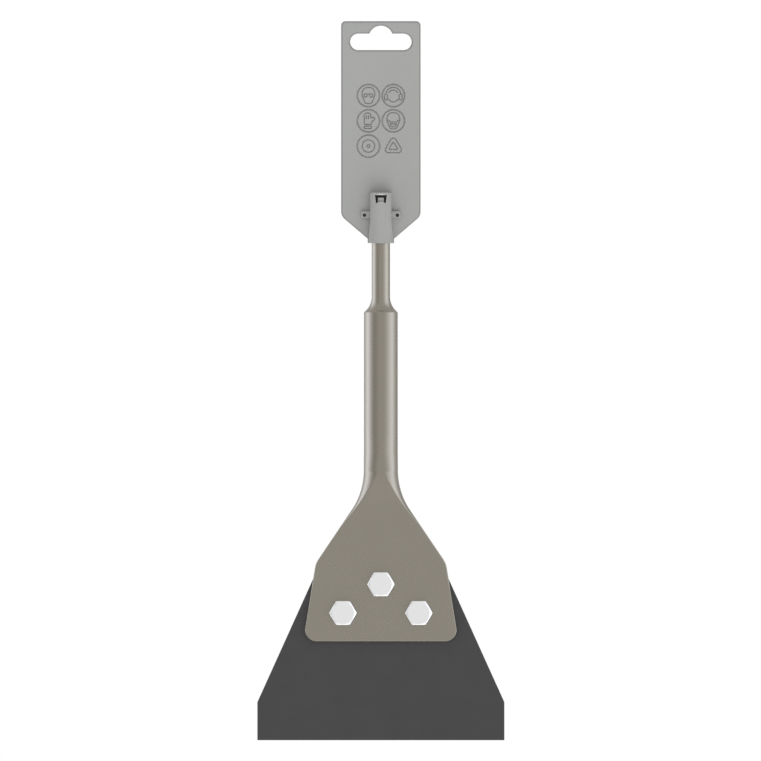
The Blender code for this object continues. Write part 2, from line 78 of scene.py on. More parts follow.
# Forged body, heights above the cutting edge
SPADE_BOTTOM = 54 * MM
SPADE_HALF_WIDTH = 42.5 * MM
SPADE_CORNER_RADIUS = 6.2 * MM
SPADE_HALF_DEPTH = 3.5 * MM
SHOULDER = (35.5 * MM, 96.7 * MM, 12 * MM)  # half-width, height, radius
FLARE_HEIGHT = 135.6 * MM
FLARE_RADIUS = 38 * MM
SHAFT_RADIUS = 9.25 * MM
SHAFT_TOP = 234.4 * MM
FACET_APEX = 150.3 * MM  # tip of the V where the flat face runs out on the round shaft
FACET_SLOPE = 0.40  # half-width of the V for each unit below its tip
FACET_CURVE = 7.6  # and for the square of that, since the V opens out downwards
FORGED_RAMP = 28 * MM  # height in which the depth falls from the shaft's to the spade's
FORGED_EDGE = 0.5 * MM
FINE_STEP = 1 * MM  # height between sections where the facet runs out
COARSE_STEP = 12 * MM  # and elsewhere
SEAM_HEIGHT = 0.12 * MM  # parting seam left by the forging dies on both sides
SEAM_HALF_WIDTH = 0.45 * MM
SEAM_FADE = 8 * MM  # the seam fades out this far below and above the V's tip

# SDS-plus shank
SHANK_RADIUS = 5 * MM
SHANK_FILLET = 8 * MM  # height of the hollow shoulder between shaft and shank
SHANK_FILLET_RADIUS = 10.6 * MM
SHANK_END = 292.9 * MM
SHANK_CHAMFER = 1 * MM
SHANK_END_EDGE = 0.12 * MM  # broken edges of that chamfer
RIM_RADIUS = 0.2 * MM  # of the corner where the shaft meets its chamfered rim
DRIVE_SLOT_WIDTH = 5 * MM
DRIVE_SLOT_FLOOR = 2.8 * MM
DRIVE_SLOT_LENGTH = 15.5 * MM
DRIVE_SLOT_RUNOUT = 4 * MM
RECESS_RADIUS = 2.7 * MM
RECESS_DEPTH = 1.7 * MM
RECESS_START = 7 * MM
RECESS_LENGTH = 13 * MM

# M8 fasteners, depths behind the tool's axis
BOLT_PLACES = {"top": (0.0, 85.2 * MM), "left": (-20.7 * MM, 69.5 * MM), "right": (20.7 * MM, 69.5 * MM)}
BOLT_HOLE_RADIUS = 4.5 * MM
BOLT_HOLE_EDGE = 0.3 * MM
HEX_HALF_FLATS = 6.5 * MM
HEX_CORNER_RADIUS = 0.3 * MM
HEX_CHAMFER_RADIUS = 6.0 * MM  # circle where the chamfer starts
HEX_CHAMFER_ANGLE = 26  # degrees
HEX_EDGE = 0.1 * MM
HEX_FLAT_STEPS = 8
HEAD_FRONT = -9 * MM
HEAD_BACK = -3.55 * MM
HEAD_SEAT = 0.15 * MM  # bevel round the underside of the head
WASHER_FRONT = 6.75 * MM
WASHER_THICKNESS = 1.7 * MM
WASHER_RADIUS = 8 * MM
WASHER_BORE = 4.2 * MM
WASHER_EDGE = 0.2 * MM
SPRING_FRONT = 8.55 * MM
SPRING_BACK = 10.8 * MM
SPRING_RADIUS = 7.3 * MM
SPRING_BORE = 4.15 * MM
SPRING_GAP = 1.4 * MM
SPRING_EDGE = 0.3 * MM
SPRING_SLANT = 0.35  # of its two ends
SPRING_LEAD = 0.1 * MM  # how far each end is from the ring's middle
NUT_FRONT = 10.85 * MM
NUT_BACK = 17.4 * MM
NUT_SINK_RADIUS = 4.25 * MM  # countersink at both ends of the nut
BOLT_TIP = 21.3 * MM
BOLT_TIP_STEP = 0.1 * MM  # how far the tip's radius is below the thread's root
THREAD_START = 2 * MM
THREAD_RUNOUT = 0.8  # radius lost for each unit of depth where the thread begins
THREAD_PITCH = 1.25 * MM
THREAD_CREST = 3.95 * MM
THREAD_DEPTH = 0.68 * MM
THREAD_FLAT = 0.125  # crest and flank as shares of the pitch
THREAD_FLANK = 0.3125
THREAD_GAP = 0.12 * MM  # between the bolt's thread and the nut's

# Hang tag, heights from the hanging point
CARD_HALF_DEPTH = 0.9 * MM
CARD_EDGE = 0.3 * MM
CARD_BEVEL = 0.75 * MM
CARD_BEVEL_DEPTH = 0.85 * MM
CARD_TOP = 2.5 * MM
CARD_HALF_WIDTH = 21.7 * MM
CARD_CORNER_RADIUS = 2.4 * MM
CARD_SHOULDER = -104 * MM
CARD_SHOULDER_RADIUS = 5.5 * MM
CARD_TAB_TOP = -116.4 * MM
CARD_TAB_HALF_WIDTH = 7.2 * MM
TAG_BOTTOM = -118.8 * MM
SLOT_HALF_WIDTH = 16.8 * MM
SLOT_HALF_HEIGHT = 4.5 * MM
SLOT_MIDDLE = -8.8 * MM
SLOT_ARCH_RADIUS = 6.7 * MM
MARK_COLUMN = 6.8 * MM
MARK_ROWS = (-38.1 * MM, -51.9 * MM, -65.7 * MM)
MARK_RADIUS = 6.1 * MM
MARK_RING = (1.0 * MM, 0.9 * MM)  # width and depth of the engraved rings
MARK_LINE = (0.75 * MM, 0.8 * MM)  # and of the lines inside them
MARK_STEPS = 6
MARKS_REACH = 14.5 * MM  # area kept free of the rim's painted shade
MARKS_BOTTOM = -75 * MM
MARKS_TOP = -28 * MM
SHADED_RIM_NORMAL = 0.95  # a face that leans more than this gets the rim's painted shade

# Sleeve and latch tongue, heights from the hanging point
SLEEVE_BACK = -CARD_HALF_DEPTH + 0.05 * MM  # just inside the card
SLEEVE_TOP = -91.1 * MM
SLEEVE_RADIUS = 5.93 * MM
SLEEVE_MOUTH_RADIUS = 6.86 * MM
SLEEVE_FLARE_TOP = -107.4 * MM
SLEEVE_EDGE = 0.3 * MM
SLEEVE_FOOT = 0.15 * MM  # bevel round its mouth
SLEEVE_STEPS = 64
BORE_RADIUS = 5.12 * MM
WINDOW_TOP = -92.5 * MM
WINDOW_CHAMFER = 0.55 * MM
WINDOW_BOTTOM = -96.9 * MM
WINDOW_HALF_WIDTH = 3.25 * MM
WINDOW_LOW_HALF = 2.65 * MM
WINDOW_LIP = 0.3 * MM  # how far the chamfer's cutter reaches below the window's top
EAR_MIDDLE = -103.2 * MM
EAR_HALF_HEIGHT = 1.9 * MM
EAR_REACH = 10.8 * MM
EAR_THICKNESS = 2.5 * MM
EAR_CORNER_RADIUS = 0.9 * MM
EAR_EDGE = 0.2 * MM
EAR_FRONT = -CARD_HALF_DEPTH - EAR_THICKNESS
PIN_PLACE = (9.0 * MM, -103.5 * MM)
PIN_RADIUS = 0.8 * MM
PIN_EDGE = 0.25 * MM
PIN_HOLE_RADIUS = 0.95 * MM
PIN_HOLE_EDGE = 0.12 * MM
PIN_RECESS = 0.5 * MM
PIN_STEPS = 32
TONGUE_ROOT = -107.2 * MM
TONGUE_TIP = -96.1 * MM
TONGUE_SHOULDER = -97.2 * MM
TONGUE_GAP = 0.015 * MM
TONGUE_EDGE = 0.02 * MM
TONGUE_STEPS = 24
TONGUE_LEAN = 0.12 * MM  # lift of the root's inner face, for its swing
TONGUE_ROOT_GAP = 0.02 * MM
TONGUE_ROOT_HEIGHT = 1 * MM
NOSE_HALF_WIDTH = 1.65 * MM
NOSE_BOTTOM = -97.9 * MM
NOSE_TOP = -93.9 * MM
NOSE_SETBACK = 1.5 * MM
NOSE_EDGE = 0.25 * MM
NOSE_CORNER_RADIUS = 0.3 * MM
NOSE_GAP = 0.2 * MM  # left to the drive slot's floor
NOSE_ROOT_EDGE = 0.1 * MM
NOSE_ROOT_INSET = 0.4 * MM  # of the nose's root from the tongue's front and tip

ROUND_STEPS = 96  # facets round a washer or ring, and so on for the other STEPS
HOLE_STEPS = 64
SIDE_STEPS = 20  # on a quarter of the forging's round side
EDGE_STEPS = 4  # in a broken edge
ARC_STEPS = 14  # in a rounded corner
SPARE = 2 * MM  # how far a cutter sticks out
SMOOTH_ANGLE = 32  # degrees between faces that are still shaded as one
BLADE_ANGLE = 12
WASHER_ANGLE = 40
NOISE_RANGE = (0.3, 0.7)  # where most of a noise's values are
MIX_A, MIX_B, MIX_RESULT = 6, 7, 2  # a mix node's colour sockets
WHITE = (1.0, 1.0, 1.0, 1.0)

# Studio
SOFTBOX_LEVELS = (  # what steel reflects: degrees (0 front, 90 right) and level
    (-180, 0.72), (-150, 0.75), (-130, 1.3), (-113, 2.65), (-94, 2.65), (-76, 1.6),
    (-57, 0.78), (-44, 0.6), (-12, 0.95), (22, 0.93), (38, 1.2), (62, 1.95),
    (84, 2.6), (108, 1.25), (135, 0.62), (180, 0.72),
)
COOL_LEVELS = (1.0, 2.5)  # levels between which the light turns cooler
COOL_TINT = (0.95, 1.0, 1.14)
EVEN_LEVEL = 0.95  # reflected from steeply above and below
EVEN_RISE = (0.45, 0.8)  # steepness at which it takes over
BELOW_RISE = (-0.72, -0.82)  # where the reflected light from below grows
BELOW_GAIN = 1.7
AMBIENT_LEVELS = (0.35, 0.86)  # diffuse light from the sides, and from front and back
FLOOR_DROP = 40 * MM  # below the cutting edge
FLOOR_HALF_WIDTH = 3.0
VIEW_WIDTH = 0.41585
CAMERA_DISTANCE = 0.6
CAMERA_SHIFT = (-0.2 * MM, 0.1 * MM)  # sideways and up from the object's middle


# -------------------- mesh helpers


def mesh_from(name, build):
    """An object whose mesh is made by build(bm), cleaned and with its faces pointing out."""
    bm = bmesh.new()
    build(bm)
    bmesh.ops.remove_doubles(bm, verts=bm.verts, dist=1e-7)
    bmesh.ops.dissolve_degenerate(bm, edges=bm.edges, dist=1e-8)
    bmesh.ops.recalc_face_normals(bm, faces=bm.faces)
    mesh = bpy.data.meshes.new(name)
    bm.to_mesh(mesh)
    bm.free()
    made = bpy.data.objects.new(name, mesh)
    scene.collection.objects.link(made)
    return made


def add_grid(bm, rings, closed=True):
    """Quads between successive rings of equally many points."""
    rows = [[bm.verts.new(place) for place in ring] for ring in rings]
    count = len(rows[0])
    for low, high in zip(rows, rows[1:]):
        for index in range(count if closed else count - 1):
            after = (index + 1) % count
            bm.faces.new((low[index], low[after], high[after], high[index]))
    return rows


def loft(name, rings):
    """One closed solid through the rings, capped at both ends."""

    def build(bm):
        rows = add_grid(bm, rings)
        bm.faces.new(list(reversed(rows[0])))
        bm.faces.new(rows[-1])

    return mesh_from(name, build)


def tube(name, rings):
    """A solid like a ring: the last ring joins the first."""
    return mesh_from(name, lambda bm: add_grid(bm, [*rings, rings[0]]))


def modified(obj, kind, **settings):
    """Applies one modifier to an object's mesh."""
    modifier = obj.modifiers.new(kind.lower(), kind)
    for key, value in settings.items():
        setattr(modifier, key, value)
    bpy.context.view_layer.update()
    mesh = bpy.data.meshes.new_from_object(obj.evaluated_get(bpy.context.evaluated_depsgraph_get()))
    obj.modifiers.remove(modifier)
    old = obj.data
    obj.data = mesh
    bpy.data.meshes.remove(old)


def combine(obj, tool, operation="DIFFERENCE"):
    """Cuts a tool out of an object, or joins it on, and throws the tool away."""
    modified(obj, "BOOLEAN", object=tool, operation=operation, solver="EXACT")
    bpy.data.objects.remove(tool, do_unlink=True)


def piece(obj, body, materials, nodes, smooth_angle=SMOOTH_ANGLE):
    """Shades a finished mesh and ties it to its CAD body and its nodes."""
    obj.data.materials.clear()
    for material in materials:
        obj.data.materials.append(material)
    obj.data.shade_smooth()
    obj.data.set_sharp_from_angle(angle=radians(smooth_angle))
    modified(obj, "WEIGHTED_NORMAL", keep_sharp=True, weight=100)
    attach(obj, body)
    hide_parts(*nodes)


def bar(name, section, half):
    """A straight bar from left to right with a section (depth, height)."""
    return loft(name, [[(x, y, z) for y, z in section] for x in (-half, half)])


# -------------------- outlines, in front view unless said


def spaced(low, high, steps):
    """Evenly spaced values from low to high."""
    return [low + (high - low) * step / steps for step in range(steps + 1)]


def rounded(corners, steps=ARC_STEPS):
    """The outline through corners (x, y, radius), where a corner with a radius becomes an arc.

    The ends of an open one have no radius."""
    points = []
    count = len(corners)
    for index, (x, y, radius) in enumerate(corners):
        here = Vector((x, y))
        if not radius:
            points.append(here)
            continue
        before = (Vector(corners[index - 1][:2]) - here).normalized()
        after = (Vector(corners[(index + 1) % count][:2]) - here).normalized()
        half = before.angle(after) / 2
        centre = here + (before + after).normalized() * (radius / sin(half))
        first = here + before * (radius / tan(half)) - centre
        last = here + after * (radius / tan(half)) - centre
        sweep = first.angle_signed(last)
        for step in range(steps + 1):
            points.append(centre + Matrix.Rotation(-sweep * step / steps, 2) @ first)
    return points


def arc(middle, radius, start, end, steps=ARC_STEPS):
    """Points on an arc between two angles in degrees, counted from +X."""
    turns = [radians(degrees) for degrees in spaced(start, end, steps)]
    return [Vector(middle) + radius * Vector((cos(turn), sin(turn))) for turn in turns]


def circle(radius, steps=ROUND_STEPS, middle=(0, 0)):
    return arc(middle, radius, 0, 360, steps)[:-1]


def mirrored(right):
    """A closed outline from its right half, lowest point first."""
    return [*right, *(Vector((-point.x, point.y)) for point in reversed(right))]


def flipped(corners):
    """Corners mirrored left to right, in the order that goes on round the outline."""
    return [(-x, y, radius) for x, y, radius in reversed(corners)]


def rectangle(half, low, high, radius):
    corners = [(-half, low, radius), (half, low, radius), (half, high, radius), (-half, high, radius)]
    return rounded(corners, MARK_STEPS)


def inset(outline, amount):
    """The counter-clockwise outline moved inwards by an amount, with mitred corners."""
    count = len(outline)
    moved = []
    for index, here in enumerate(outline):
        along = (here - outline[index - 1]).normalized()
        onward = (outline[(index + 1) % count] - here).normalized()
        normals = Vector((-along.y, along.x)), Vector((-onward.y, onward.x))
        bisector = (normals[0] + normals[1]) / (1 + normals[0].dot(normals[1]))
        moved.append(here + bisector * amount)
    return moved


def edge_profile(edge):
    """(depth, inset) down a rounded edge, from the face to the side."""
    turns = spaced(0, pi / 2, EDGE_STEPS)
    return [(edge * (1 - cos(turn)), edge * (1 - sin(turn))) for turn in turns]


def bevel_profile(width, depth):
    """(depth, inset) down a flat bevel whose two corners are rounded."""
    soft = 0.15 * width
    corners = [(0, 1.3 * width, 0), (0, width, soft), (depth, 0, soft), (1.3 * depth, 0, 0)]
    return [tuple(point) for point in rounded(corners, EDGE_STEPS)]


def at_depth(outline, depth):
    return [(point.x, depth, point.y) for point in outline]


def slab(name, outline, front, back, edge, rim=None):
    """A flat piece with rounded edges, or with another profile round its front."""
    rear = reversed(edge_profile(edge))
    rings = [at_depth(inset(outline, step), front + depth) for depth, step in rim or edge_profile(edge)]
    rings += [at_depth(inset(outline, step), back - depth) for depth, step in rear]
    return loft(name, rings)


def plug(outline, front, back, edge, rim=None):
    """The cutter of a hole through a flat piece, with both of its rims rounded."""
    rim = rim or edge_profile(edge)
    stations = [(front - SPARE, rim[0][1]), *((front + depth, step) for depth, step in rim)]
    stations += [(back - depth, step) for depth, step in reversed(edge_profile(edge))]
    stations += [(back + SPARE, edge)]
    return loft("plug", [at_depth(inset(outline, -step), depth) for depth, step in stations])


# -------------------- procedural materials


def new_material(name):
    """A new material, its node tree and its shader."""
    material = bpy.data.materials.new(name)
    material.use_nodes = True
    return material, material.node_tree, material.node_tree.nodes["Principled BSDF"]


def feed(tree, socket, value):
    """Links a node's input to an output, or sets it to a value."""
    if isinstance(value, bpy.types.NodeSocket):
        tree.links.new(value, socket)
    else:
        socket.default_value = value


def add_node(tree, kind, **inputs):
    """A shader node with values or links on its inputs, where _ stands for a space."""
    node = tree.nodes.new("ShaderNode" + kind)
    for name, value in inputs.items():
        feed(tree, node.inputs[name.replace("_", " ")], value)
    return node


def number(tree, operation, *values):
    """The output of a math node."""
    node = add_node(tree, "Math")
    node.operation = operation
    for socket, value in zip(node.inputs, values):
        feed(tree, socket, value)
    return node.outputs[0]


def map_range(tree, value, source, target=(0.0, 1.0)):
    """A number moved from one range to another and held at its ends."""
    limits = zip(("From_Min", "From_Max", "To_Min", "To_Max"), (*source, *target))
    return add_node(tree, "MapRange", Value=value, **dict(limits)).outputs["Result"]


def blend(tree, factor, first, second):
    """A mix of two colours."""
    mix = add_node(tree, "Mix", Factor=factor)
    mix.data_type = "RGBA"
    feed(tree, mix.inputs[MIX_A], first)
    feed(tree, mix.inputs[MIX_B], second)
    return mix.outputs[MIX_RESULT]


def grain(tree, size, stretch=(1, 1, 1), detail=4.0, roughness=0.5):
    """Noise on the object's own coordinates, with lumps of a given size in metres."""
    place = add_node(tree, "TexCoord").outputs["Object"]
    scale = add_node(tree, "Mapping", Vector=place, Scale=[1 / (size * factor) for factor in stretch])
    noise = add_node(tree, "TexNoise", Vector=scale.outputs["Vector"], Scale=1.0, Detail=detail,
                     Roughness=roughness)
    return noise.outputs["Fac"]


def shaded(colour, amount):
    """A colour made lighter or darker."""
    return (*(channel * amount for channel in colour[:3]), 1.0)


def procedural(name, colour, noises, tone, roughness, bumps, speck=None, metallic=0.0, specular=0.5):
    """A material whose colour, roughness and bumps follow noises.

    noises holds the settings of each grain; tone is (noise, darkest, lightest), speck (noise, share,
    lightness), roughness (noise, lowest, highest), and bumps are (noise, height in metres)."""
    material, tree, shader = new_material(name)
    factors = {key: grain(tree, **settings) for key, settings in noises.items()}

    def between(noise, low, high):
        return map_range(tree, factors[noise], NOISE_RANGE, (low, high))

    noise, dark, light = tone
    paint = blend(tree, between(noise, 0, 1), shaded(colour, dark), shaded(colour, light))
    if speck:
        noise, share, light = speck
        paint = blend(tree, between(noise, 0, share), paint, shaded(colour, light))
    tree.links.new(paint, shader.inputs["Base Color"])
    tree.links.new(between(*roughness), shader.inputs["Roughness"])
    shader.inputs["Metallic"].default_value = metallic
    shader.inputs["Specular IOR Level"].default_value = specular
    chain = {}
    for noise, height in bumps:
        node = add_node(tree, "Bump", Distance=height, Height=factors[noise], **chain)
        chain = {"Normal": node.outputs["Normal"]}
    feed(tree, shader.inputs["Normal"], chain["Normal"])
    return material


def forged_steel():
    """Bead-blasted forging: grey-brown, fine pits, faint turning rings, slight tone changes."""
    return procedural(
        "forged_steel", (0.268, 0.246, 0.206), metallic=0.85,
        noises={
            "broad": dict(size=18 * MM, detail=3),
            "fine": dict(size=0.3 * MM),
            "rings": dict(size=0.35 * MM, stretch=(60, 60, 1), detail=2),
        },
        tone=("broad", 0.99, 1.01), speck=("fine", 0.3, 0.93), roughness=("fine", 0.25, 0.29),
        bumps=[("fine", 0.001 * MM), ("rings", 0.0008 * MM)],
    )


def blade_steel():
    """Rolled spring steel with a black phosphate finish."""
    return procedural(
        "blade_steel", (0.067, 0.067, 0.067), metallic=0.85,
        noises={
            "cloud": dict(size=12 * MM),
            "rolled": dict(size=0.8 * MM, stretch=(25, 1, 1), detail=3),
            "crystal": dict(size=0.3 * MM, detail=3),
        },
        tone=("cloud", 0.97, 1.03), speck=("crystal", 0.3, 1.3), roughness=("rolled", 0.3, 0.38),
        bumps=[("crystal", 0.01 * MM), ("rolled", 0.004 * MM)],
    )


def ground_steel():
    """Bright steel of the ground cutting bevel, with striations square to the edge."""
    return procedural(
        "ground_steel", (0.46, 0.45, 0.43), metallic=1.0,
        noises={
            "stripes": dict(size=0.18 * MM, stretch=(1, 60, 60)),
            "burrs": dict(size=1.5 * MM, stretch=(1, 8, 8), detail=2),
        },
        tone=("stripes", 0.8, 1.1), roughness=("burrs", 0.24, 0.36), bumps=[("stripes", 0.008 * MM)],
    )


def zinc_plate():
    """Bright zinc plating, slightly mottled."""
    return procedural(
        "zinc_plate", (0.83, 0.83, 0.835), metallic=1.0,
        noises={"mottle": dict(size=2.2 * MM), "fine": dict(size=0.25 * MM, detail=3)},
        tone=("mottle", 0.98, 1.01), roughness=("mottle", 0.28, 0.32), bumps=[("fine", 0.003 * MM)],
    )


def tag_plastic(name="tag_plastic", lightness=1.0):
    """Grey moulded plastic with a fine spark-eroded grain."""
    # lightness other than 1 makes a lit or shaded copy: below 1 painted shade, above 1 painted highlight
    return procedural(
        name, shaded((0.396, 0.402, 0.39), lightness), specular=0.15,
        noises={
            "flow": dict(size=25 * MM, detail=2),
            "fine": dict(size=0.22 * MM, roughness=0.6),
        },
        tone=("flow", 0.98, 1.02), speck=("fine", 0.25, 0.88), roughness=("fine", 0.5, 0.62),
        bumps=[("fine", 0.012 * MM)],
    )


def pin_steel():
    """Dark, dull pin."""
    return procedural(
        "pin_steel", (0.05, 0.05, 0.05), metallic=0.7,
        noises={"fine": dict(size=0.2 * MM, detail=3)},
        tone=("fine", 0.8, 1.2), roughness=("fine", 0.45, 0.6), bumps=[("fine", 0.006 * MM)],
    )


# -------------------- forged and turned tool body


def facet_half_width(height, half_width):
    """Half-width of the flat front face: nothing on the shaft, a widening V, then all of the spade."""
    below = max(FACET_APEX - height, 0.0)
    # just short of the side, where the round flank would have no depth
    return min(FACET_SLOPE * below + FACET_CURVE * below**2, 0.999 * half_width)


def half_depth(height, half_width):
    """Half the forging's depth, eased from the shaft's to the spade's and round its lower edge."""
    share = min(max((FACET_APEX - height) / FORGED_RAMP, 0.0), 1.0)
    ease = (1 + cos(pi * share)) / 2
    depth = SPADE_HALF_DEPTH + (min(half_width, SHAFT_RADIUS) - SPADE_HALF_DEPTH) * ease
    near = FORGED_EDGE - min(height - SPADE_BOTTOM, FORGED_EDGE)
    return depth - FORGED_EDGE + sqrt(FORGED_EDGE**2 - near**2)


def forged_quarter(height, half_width, slant):
    """A quarter of the forging's section, from its flat face round the broken edge to the parting seam.

    slant is the outline's sideways share: 1 where it is upright, less where the side leans."""
    chord = facet_half_width(height, half_width)
    depth = half_depth(height, half_width)
    limit = math.acos(chord / half_width)
    ellipse = depth / sin(limit)
    flat_cut = min(FORGED_EDGE / max(slant, 0.35), 0.8 * chord)
    speed = hypot(half_width * sin(limit), ellipse * cos(limit))
    side_start = limit - min(min(FORGED_EDGE, 0.8 * chord) / speed, 0.4 * limit)

    def side(turn):
        return Vector((half_width * cos(turn), ellipse * sin(turn)))

    first, corner, last = Vector((chord - flat_cut, depth)), Vector((chord, depth)), side(side_start)
    shares = [step / EDGE_STEPS for step in range(EDGE_STEPS + 1)]
    points = [first.lerp(corner, share).lerp(corner.lerp(last, share), share) for share in shares]
    points += [side(side_start * (1 - step / SIDE_STEPS)) for step in range(1, SIDE_STEPS + 1)]
    fade = min(max((FACET_APEX + SEAM_FADE - height) / (2 * SEAM_FADE), 0.0), 1.0)
    for point in points[EDGE_STEPS:]:
        point.x += fade * SEAM_HEIGHT * math.exp(-((point.y / SEAM_HALF_WIDTH) ** 2))
    return points


def full_section(quarter, height):
    """The whole section from its quarter, counter-clockwise from the front's right."""
    half = [(point.x, -point.y) for point in quarter]
    half += [(point.x, point.y) for point in reversed(quarter[:-1])]
    other = [(-x, -y) for x, y in half]
    return [(x, y, height) for x, y in half + other]


def fillet_point(turn):
    """Radius and height on the hollow shoulder, an arc from the shank down to the shaft's rim."""
    across = SHANK_RADIUS + SHANK_FILLET_RADIUS * (1 - cos(turn))
    return across, SHAFT_TOP + SHANK_FILLET - SHANK_FILLET_RADIUS * sin(turn)


def forged_rings():
    foot, _ = fillet_point(asin(SHANK_FILLET / SHANK_FILLET_RADIUS))
    corners = [
        (0.0, SPADE_BOTTOM, 0),
        (SPADE_HALF_WIDTH, SPADE_BOTTOM, SPADE_CORNER_RADIUS),
        SHOULDER,
        (SHAFT_RADIUS, FLARE_HEIGHT, FLARE_RADIUS),
        (SHAFT_RADIUS, SHAFT_TOP - SHAFT_RADIUS + foot, RIM_RADIUS),
        (foot, SHAFT_TOP, 0),
    ]
    side = rounded(corners, 2 * ARC_STEPS)[1:]
    stations = [side[0]]
    for point in side[1:]:
        last = stations[-1]
        ramp = FACET_APEX - 1.6 * FORGED_RAMP < (point.y + last.y) / 2 < FACET_APEX + 10 * MM
        parts = max(1, math.ceil((point.y - last.y) / (FINE_STEP if ramp else COARSE_STEP)))
        stations += [last.lerp(point, part / parts) for part in range(1, parts + 1)]
    rings = []
    for index, here in enumerate(stations):
        before, after = stations[max(index - 1, 0)], stations[min(index + 1, len(stations) - 1)]
        slant = abs((after - before).normalized().y)
        rings.append(full_section(forged_quarter(here.y, here.x, slant), here.y))
    return rings


def round_section(radius, height, like):
    """A round section with as many points as the forging's, at the same turns."""
    return [(*(Vector((x, y)).normalized() * radius), height) for x, y, _ in like]


def shank_rings(like):
    """Hollow shoulder, shank and its chamfered end."""
    steps = 2 * ARC_STEPS
    spread = asin(SHANK_FILLET / SHANK_FILLET_RADIUS)
    fillet = [fillet_point(spread * (1 - step / steps)) for step in range(1, steps + 1)]
    soft = SHANK_END_EDGE
    end = [
        (SHANK_RADIUS, SHANK_END - SHANK_CHAMFER - soft),
        (SHANK_RADIUS - soft / 2, SHANK_END - SHANK_CHAMFER + soft / 2),
        (SHANK_RADIUS - SHANK_CHAMFER + soft / 2, SHANK_END - soft / 2),
        (SHANK_RADIUS - SHANK_CHAMFER - soft, SHANK_END),
    ]
    return [round_section(radius, height, like) for radius, height in fillet + end]


def drive_slot(side):
    """The cutter of an open drive slot, with a curved run-out at its lower end."""
    low = SHANK_END - DRIVE_SLOT_LENGTH
    rise = SHANK_RADIUS + SPARE - DRIVE_SLOT_FLOOR
    floor = [
        (DRIVE_SLOT_FLOOR + rise * (1 - cos(turn)), low - DRIVE_SLOT_RUNOUT * sin(turn))
        for turn in spaced(0, pi / 2, ARC_STEPS)
    ]
    top = SHANK_END + SPARE
    outline = [(DRIVE_SLOT_FLOOR, top), *floor, (SHANK_RADIUS + SPARE, top)]
    return bar("drive_slot", [(side * y, z) for y, z in outline], DRIVE_SLOT_WIDTH / 2)


def ball_recess(side):
    """The cutter of a closed ball recess: a capsule sunk into the shank's side."""
    straight = RECESS_LENGTH / 2 - RECESS_RADIUS
    across = side * (SHANK_RADIUS - RECESS_DEPTH + RECESS_RADIUS)
    middle = SHANK_END - RECESS_START - RECESS_LENGTH / 2
    rows = [(RECESS_RADIUS * cos(turn), middle - straight + RECESS_RADIUS * sin(turn))
            for turn in spaced(-pi / 2, 0, ARC_STEPS)[1:]]
    rows += [(radius, 2 * middle - height) for radius, height in reversed(rows)]
    around = circle(1.0, ROUND_STEPS // 2)
    rings = [[(across + radius * p.x, radius * p.y, height) for p in around] for radius, height in rows]
    return loft("ball_recess", rings)


def bolt_hole(place, front, back):
    return plug(circle(BOLT_HOLE_RADIUS, HOLE_STEPS, place), front, back, BOLT_HOLE_EDGE)


def make_chisel_body(steel):
    rings = forged_rings()
    rings += shank_rings(rings[-1])
    body = loft("chisel_body", rings)
    for side in (-1, 1):
        combine(body, drive_slot(side))
        combine(body, ball_recess(side))
    for place in BOLT_PLACES.values():
        combine(body, bolt_hole(place, -SPADE_HALF_DEPTH, SPADE_HALF_DEPTH))
    body.data.transform(TO_TOOL)
    piece(body, "chisel", [steel], ["chisel_body"])


# -------------------- blade


def make_blade(black, ground):
    top = BLADE_HALF_WIDTH - BLADE_TAPER * (BLADE_HEIGHT - BLADE_STRAIGHT_SIDE)
    right = [
        (BLADE_HALF_WIDTH, -SPARE, 0),
        (BLADE_HALF_WIDTH, BLADE_STRAIGHT_SIDE, SPARE),
        (top, BLADE_HEIGHT, BLADE_CORNER_RADIUS),
    ]
    outline = rounded(right + flipped(right))
    blade = slab("scraper_blade", outline, BLADE_FRONT, BLADE_BACK, BLADE_EDGE)
    for place in BOLT_PLACES.values():
        combine(blade, bolt_hole(place, BLADE_FRONT, BLADE_BACK))
    wide = BLADE_HALF_WIDTH + SPARE
    front, back = BLADE_FRONT - SPARE, BLADE_BACK + SPARE
    below = [(front, 0), (back, 0), (back, -2 * SPARE), (front, -2 * SPARE)]
    combine(blade, bar("below", below, wide))
    low = BLADE_FRONT + BLADE_LAND
    slope = (BLADE_BACK - low) / BLADE_BEVEL_HEIGHT
    high = BLADE_BACK + slope * SPARE
    wedge = [(low - slope * SPARE, -SPARE), (high, BLADE_BEVEL_HEIGHT + SPARE), (high, -SPARE)]
    combine(blade, bar("bevel", wedge, wide))
    blade.data.transform(TO_TOOL)
    piece(blade, "chisel", [black, ground], ["scraper_blade"], BLADE_ANGLE)
    bevel_normal = Vector((0, 1, -slope)).normalized()
    for face in blade.data.polygons:
        if face.normal.dot(bevel_normal) > 0.9999 or face.normal.z < -0.99:
            face.material_index = 1


# -------------------- M8 fasteners


def hexagon():
    """A hexagon with slightly rounded corners at left and right, its flats divided evenly."""
    reach = HEX_HALF_FLATS / cos(pi / 6)
    corners = [(*point, HEX_CORNER_RADIUS) for point in circle(reach, 6)]
    outline = rounded(corners, EDGE_STEPS)
    points = []
    for index, here in enumerate(outline):
        onward = outline[(index + 1) % len(outline)]
        parts = HEX_FLAT_STEPS if (index + 1) % (EDGE_STEPS + 1) == 0 else 1
        points += [here.lerp(onward, part / parts) for part in range(parts)]
    return points


